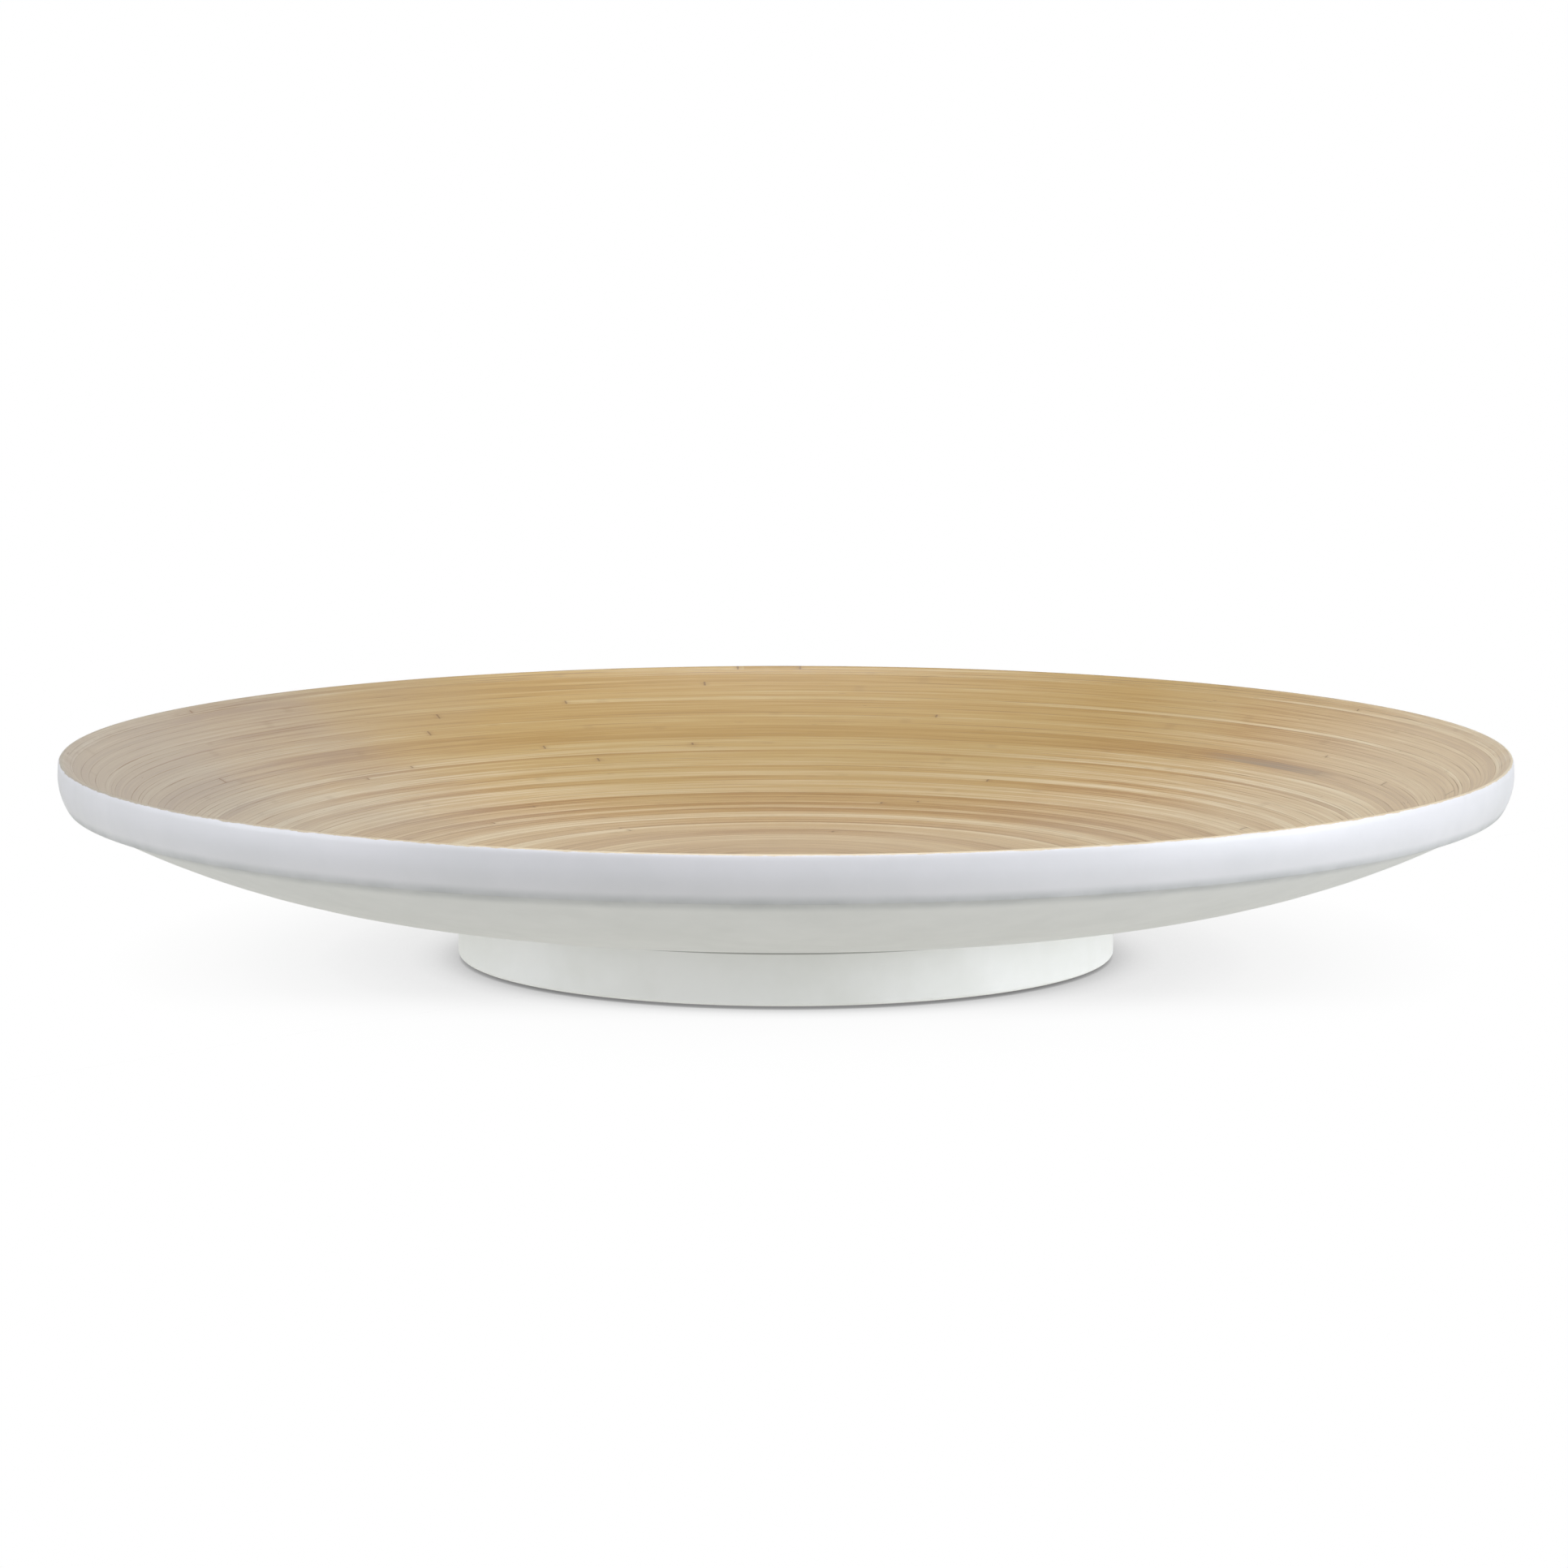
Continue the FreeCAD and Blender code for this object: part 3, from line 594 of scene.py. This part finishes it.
# Each strip of the band from the inside out: where it starts, where its lengths end, and their tones.
BAND_STRIPS = (173.8 * MM, 174.45 * MM, 175.3 * MM, 176.4 * MM, 176.9 * MM)
BAND_ENDS_DEG = ((31.0, 214.0), (152.0, 301.0), (88.7, 94.3), (88.7, 94.3))
BAND_TONES = (0.62, 0.35, 0.60, 1.40)
BETWEEN_TONES = (0.45, 0.50, 0.05, -0.25)
LIP_WHITE = (0.81, 0.80, 0.825, 1)
LIP_CLOUDED = (0.77, 0.765, 0.785, 1)
PAINT_LINE = (176.87 * MM, 176.79 * MM)
PAINT_LINE_LEVEL = (48.6 * MM, 48.9 * MM)
PAINT_LINE_RAGGED = -0.42 * MM

band_low, band_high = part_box("rim_band")
WIDEST = min(-band_low.x, -band_low.y, band_high.x, band_high.y)


def arc_to(start, end, shape, count):
    """Points on a curve from start to end: upright where it ends or where it starts, or level where it ends."""
    out, up = end[0] - start[0], end[1] - start[1]
    points = []
    for step in range(1, count + 1):
        share = step / count
        if shape == "ends upright":
            points.append((end[0] - out * (1 - share) * (1 - share), start[1] + up * share))
        elif shape == "starts upright":
            points.append((start[0] + out * share * share, start[1] + up * share))
        else:
            points.append((start[0] + out * share, end[1] - up * (1 - share) ** 2))
    return points


widest = (WIDEST, WIDEST_LEVEL)
outline = [(EDGE_RADIUS, band_low.z), *BAND_LOW_EDGE]
outline += arc_to(outline[-1], widest, "ends upright", 8)
outline += arc_to(widest, SHOULDER, "starts upright", 4)
outline += arc_to(SHOULDER, (CROWN, band_high.z), "ends level", 5)
outline += [CROWN_EASED, BROW]
slope = (BROW[1] - EDGE_HIGH) / (BROW[0] - EDGE_RADIUS)
outline += [(radius, EDGE_HIGH + slope * (radius - EDGE_RADIUS)) for radius in INSIDE_RADII]
outline += [(EDGE_RADIUS, EDGE_HIGH)]
bm = bmesh.new()
marks = RibbonMarks(bm)
turned(bm, outline, closed=True)
bmesh.ops.recalc_face_normals(bm, faces=bm.faces)
for face in bm.faces:
    middle = face.calc_center_median()
    radius = middle.xy.length
    if face.normal.z < 0.3 or radius > WIDEST - 0.25 * MM:
        continue
    angle = math.atan2(middle.y, middle.x) % (2 * math.pi)
    strip = min(bisect.bisect_right(BAND_STRIPS, radius) - 1, len(BAND_TONES) - 1)
    ends = [math.radians(end) for end in BAND_ENDS_DEG[strip]]
    between = ends[0] < angle < ends[1]
    face[marks.tone] = BETWEEN_TONES[strip] if between else BAND_TONES[strip]
    nearest = min(ends, key=lambda end: abs(end - angle))
    inner, outer = BAND_STRIPS[strip:strip + 2]
    for corner in face.loops:
        place = corner.vert.co
        turn = math.atan2(place.y, place.x) - angle
        turn = (turn + math.pi) % (2 * math.pi) - math.pi
        across = place.xy.length
        from_edge = abs(across - inner)
        if outer < BAND_STRIPS[-1]:
            from_edge = min(from_edge, abs(outer - across))
        marks.corner(corner, (angle + turn) * radius + strip, across, from_edge, (angle + turn - nearest) * radius)

# Paint outside, bare bamboo inside, with a ragged line between them along the crown.
lip_painted, tree, shader = new_material("lip_painted", Coat_Weight=0.15, Coat_Roughness=0.3)
paint, paint_height, paint_rough = paint_colour(tree, LIP_WHITE, LIP_CLOUDED)
bare, bare_height, bare_rough = bamboo_colour(tree)
place = own_place(tree)
ragged = noise_value(tree, stretched(tree, place, (1, 1, 0.2)), 330.0, 4.0, 0.65)
reach = maths(tree, "MULTIPLY_ADD", ragged, PAINT_LINE_RAGGED, axis_distance(tree, place))
inside = ranged(tree, reach, *PAINT_LINE)
bareness = maths(tree, "MULTIPLY", inside, ranged(tree, split(tree, place)["Z"], *PAINT_LINE_LEVEL))
tree.links.new(blended(tree, bareness, paint, bare), shader.inputs["Base Color"])
tree.links.new(paint_rough, shader.inputs["Roughness"])
height = add_node(tree, "ShaderNodeMix", {0: bareness, 2: paint_height, 3: bare_height}).outputs[0]
add_bump(tree, shader, height, PAINT_RELIEF)
band = put_mesh("rim_winding", bm, lip_painted)
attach(band, "platter")
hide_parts("rim_band")


# ---------------------------------------------------------------- foot ring
# The foot's wall is the same bamboo strip, wound into a ring, filled and sprayed white. The windings still
# show as faint waves, its two outer edges are eased by hand, and a painted shadow line with painted shade
# above it lies below the gap.

FOOT_EASE = 0.9 * MM
FOOT_EASE_STEPS = 5
FOOT_BORE = 73.5 * MM
FOOT_WAVE = 0.04 * MM
FOOT_ROWS = 16
# Painted light: the foot's white is painted lighter than the same paint on the bowl.
FOOT_PAINTED_LIGHT_WHITE = (0.88, 0.88, 0.865, 1)
FOOT_PAINTED_LIGHT_CLOUDED = (0.82, 0.822, 0.795, 1)
# Painted shadow line and painted shade at the top of the foot, under the gap.
GAP_PAINTED_SHADOW = (0.16, 0.155, 0.14, 1)
GAP_SHADOW_DROP = 2.75 * MM
GAP_SHADOW_LINE = (0.34 * MM, 0.14 * MM, 0.0, 0.65)
GAP_SHADE_FILM = 0.45

foot_low, foot_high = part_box("foot_ring")
FOOT_RADIUS = foot_high.x - FOOT_WAVE


def eased_edge(lean_deg):
    """How far in and how far down or up the eased edge is at this lean."""
    lean = math.radians(lean_deg)
    return FOOT_RADIUS - FOOT_EASE * (1 - math.sin(lean)), FOOT_EASE * (1 - math.cos(lean))


outline = [(FOOT_BORE, foot_low.z), (FOOT_RADIUS - FOOT_EASE, foot_low.z)]
for step in range(1, FOOT_EASE_STEPS + 1):
    radius, rise = eased_edge(90 / FOOT_EASE_STEPS * step)
    outline.append((radius, foot_low.z + rise))
for step in range(1, FOOT_ROWS):
    level = foot_low.z + FOOT_EASE + (foot_high.z - foot_low.z - 2 * FOOT_EASE) * step / FOOT_ROWS
    outline.append((FOOT_RADIUS, level))
for step in range(FOOT_EASE_STEPS, -1, -1):
    radius, drop = eased_edge(90 / FOOT_EASE_STEPS * step)
    outline.append((radius, foot_high.z - drop))
outline.append((FOOT_BORE, foot_high.z))
bm = bmesh.new()
turned(bm, outline, closed=True)
for vert in bm.verts:
    radius = vert.co.xy.length
    if radius > FOOT_RADIUS - 0.1 * MM:
        wave = noise.noise(Vector((vert.co.x * 14, vert.co.y * 14, vert.co.z * 260)))
        vert.co.xy *= 1 + FOOT_WAVE * max(-1.0, min(1.0, wave)) / radius
bmesh.ops.recalc_face_normals(bm, faces=bm.faces)

foot_sprayed_painted_light, tree, shader = new_material("foot_sprayed_painted_light", Coat_Weight=0.15, Coat_Roughness=0.3)
paint, paint_height, paint_rough = paint_colour(tree, FOOT_PAINTED_LIGHT_WHITE, FOOT_PAINTED_LIGHT_CLOUDED)
level = split(tree, own_place(tree))["Z"]
# Painted shade: the top of the foot is darkened down to a painted shadow line below the gap.
shadow_line_level = foot_high.z - GAP_SHADOW_DROP
film = ranged(tree, level, shadow_line_level, foot_high.z, 0.0, GAP_SHADE_FILM)
line = ranged(tree, maths(tree, "ABSOLUTE", maths(tree, "SUBTRACT", level, shadow_line_level)), *GAP_SHADOW_LINE)
dust_and_shade = blended(tree, maths(tree, "MAXIMUM", film, line), paint, GAP_PAINTED_SHADOW)
tree.links.new(dust_and_shade, shader.inputs["Base Color"])
tree.links.new(paint_rough, shader.inputs["Roughness"])
add_bump(tree, shader, paint_height, PAINT_RELIEF)
foot = put_mesh("wound_foot", bm, foot_sprayed_painted_light)
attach(foot, "foot")
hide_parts("foot_ring")


# ---------------------------------------------------------------- plywood pad and base disc
# Both discs are cut from birch plywood: pale face veneer with a soft grain, and alternating light and dark
# plies round the edge. The pad is glued under the bowl, and the disc is glued inside the foot.

PLY_GAUGE = 1.1 * MM
PLY_OFFSET = 0.3 * MM
VENEER_TONES = (
    (0.0, (0.40, 0.255, 0.130, 1)),
    (0.45, (0.58, 0.42, 0.25, 1)),
    (1.0, (0.68, 0.53, 0.35, 1)),
)
PLY_DARK = (0.34, 0.20, 0.10, 1)


def dress(material, *names):
    """Give carried-over parts this finish."""
    for name in names:
        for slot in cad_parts[name].material_slots:
            slot.material = material


birch_ply, tree, shader = new_material("birch_ply")
place = own_place(tree)
figure = noise_value(tree, stretched(tree, place, (7, 95, 40)), 1.0, 4.0, 0.55, 0.6)
pores = noise_value(tree, stretched(tree, place, (160, 2400, 900)), 1.0, 2.0)
colour = ramp(tree, swayed(tree, figure, pores, 0.5), VENEER_TONES)
ply = maths(tree, "PINGPONG", maths(tree, "ADD", split(tree, place)["Z"], PLY_OFFSET), PLY_GAUGE)
upright = split(tree, add_node(tree, "ShaderNodeNewGeometry").outputs["Normal"])["Z"]
side = ranged(tree, maths(tree, "ABSOLUTE", upright), 0.6, 0.3)
ply = maths(tree, "MULTIPLY", ranged(tree, ply, 0.45 * PLY_GAUGE, 0.6 * PLY_GAUGE), side)
colour = blended(tree, maths(tree, "MULTIPLY", ply, 0.6), colour, PLY_DARK)
tree.links.new(colour, shader.inputs["Base Color"])
tree.links.new(ranged(tree, pores, 0.3, 0.7, 0.55, 0.72), shader.inputs["Roughness"])
add_bump(tree, shader, pores, 0.05 * MM)
dress(birch_ply, "bearing_pad", "base_disc")


# ---------------------------------------------------------------- bearing plates and rivet
# Two plates are pressed from zinc-plated sheet, each with a raised race, and one hollow rivet holds them
# together. The plating is bright with a faint spangle, and rubbed where the plates were pressed.

ZINC = (0.56, 0.575, 0.59, 1)
ZINC_DULL = (0.42, 0.43, 0.44, 1)

zinc_plate, tree, shader = new_material("zinc_plate", Metallic=1.0)
place = own_place(tree)
spangle = add_node(tree, "ShaderNodeTexVoronoi", {"Vector": place, "Scale": 260.0}).outputs["Color"]
spangle = split(tree, spangle)[0]
rubbed = noise_value(tree, place, 70.0, 5.0, 0.6)
drawn = noise_value(tree, stretched(tree, place, (60, 1800, 60)), 1.0, 2.0)
dull = maths(tree, "MULTIPLY_ADD", spangle, 0.35, maths(tree, "MULTIPLY", rubbed, 0.8))
tree.links.new(blended(tree, ranged(tree, dull, 0.3, 0.8), ZINC, ZINC_DULL), shader.inputs["Base Color"])
rough = maths(tree, "MULTIPLY_ADD", spangle, 0.10, maths(tree, "MULTIPLY_ADD", rubbed, 0.25, 0.16))
tree.links.new(rough, shader.inputs["Roughness"])
add_bump(tree, shader, drawn, 0.006 * MM)
dress(zinc_plate, "upper_bearing_plate", "lower_bearing_plate", "centre_rivet")


# ---------------------------------------------------------------- cage and washer
# The ball cage and the thrust washer are moulded in natural nylon, a slightly milky off-white that picks up
# a film of grey grease from the races.

NYLON = (0.74, 0.72, 0.64, 1)
NYLON_GREASE = (0.42, 0.40, 0.35, 1)

natural_nylon, tree, shader = new_material("natural_nylon", Subsurface_Weight=0.1, Subsurface_Scale=0.002)
place = own_place(tree)
grease = ranged(tree, noise_value(tree, place, 160.0, 4.0, 0.6), 0.52, 0.72, 0.0, 0.6)
moulded = noise_value(tree, place, 1500.0, 2.0)
tree.links.new(blended(tree, grease, NYLON, NYLON_GREASE), shader.inputs["Base Color"])
tree.links.new(maths(tree, "MULTIPLY_ADD", grease, -0.25, 0.5), shader.inputs["Roughness"])
add_bump(tree, shader, moulded, 0.01 * MM)
dress(natural_nylon, "ball_cage", "thrust_washer")


# ---------------------------------------------------------------- bearing balls
# Eighteen polished steel balls run in the cage's pockets. They carry a thin smear of grease and the fine
# tracks of running in the race.

BALL_STEEL = (0.62, 0.62, 0.63, 1)
BALL_SMEAR = (0.34, 0.32, 0.29, 1)

polished_ball, tree, shader = new_material("polished_ball", Metallic=1.0)
place = own_place(tree)
smear = ranged(tree, noise_value(tree, place, 420.0, 4.0, 0.6), 0.48, 0.72, 0.0, 0.7)
track = noise_value(tree, stretched(tree, place, (200, 200, 6000)), 1.0, 1.0)
tree.links.new(blended(tree, smear, BALL_STEEL, BALL_SMEAR), shader.inputs["Base Color"])
tree.links.new(maths(tree, "MULTIPLY_ADD", smear, 0.25, 0.09), shader.inputs["Roughness"])
add_bump(tree, shader, track, 0.002 * MM)
dress(polished_ball, *[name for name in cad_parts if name.startswith("bearing_ball_")])


# ---------------------------------------------------------------- screws
# Pan-head wood screws fix each plate: four up into the pad and four down into the base disc. They are
# plated a little darker than the plates, and their heads are scuffed by the driver.

SCREW_STEEL = (0.46, 0.45, 0.42, 1)
SCREW_SCUFF = (0.68, 0.67, 0.64, 1)

plated_screw, tree, shader = new_material("plated_screw", Metallic=1.0)
place = own_place(tree)
scuff = ranged(tree, noise_value(tree, stretched(tree, place, (1, 1, 2.5)), 700.0, 5.0, 0.65), 0.5, 0.68)
tree.links.new(blended(tree, scuff, SCREW_STEEL, SCREW_SCUFF), shader.inputs["Base Color"])
tree.links.new(maths(tree, "MULTIPLY_ADD", scuff, -0.14, 0.36), shader.inputs["Roughness"])
add_bump(tree, shader, scuff, 0.008 * MM)
dress(plated_screw, *[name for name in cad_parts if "_screw_" in name])


# ---------------------------------------------------------------- rubber feet
# Four thin discs of soft grey rubber are stuck under the base disc, and keep the painted foot just clear of
# the table. Their soles are dusty and a little scuffed.

RUBBER = (0.050, 0.050, 0.052, 1)
RUBBER_DUST = (0.17, 0.165, 0.155, 1)

soft_rubber, tree, shader = new_material("soft_rubber", Specular_IOR_Level=0.35)
place = own_place(tree)
dust = noise_value(tree, place, 340.0, 6.0, 0.7)
grain = noise_value(tree, place, 2600.0, 2.0)
dust_and_shade = ranged(tree, dust, 0.45, 0.75, 0.0, 0.8)
tree.links.new(blended(tree, dust_and_shade, RUBBER, RUBBER_DUST), shader.inputs["Base Color"])
tree.links.new(ranged(tree, dust, 0.3, 0.7, 0.62, 0.88), shader.inputs["Roughness"])
add_bump(tree, shader, grain, 0.02 * MM)
dress(soft_rubber, *[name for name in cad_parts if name.startswith("rubber_foot_")])
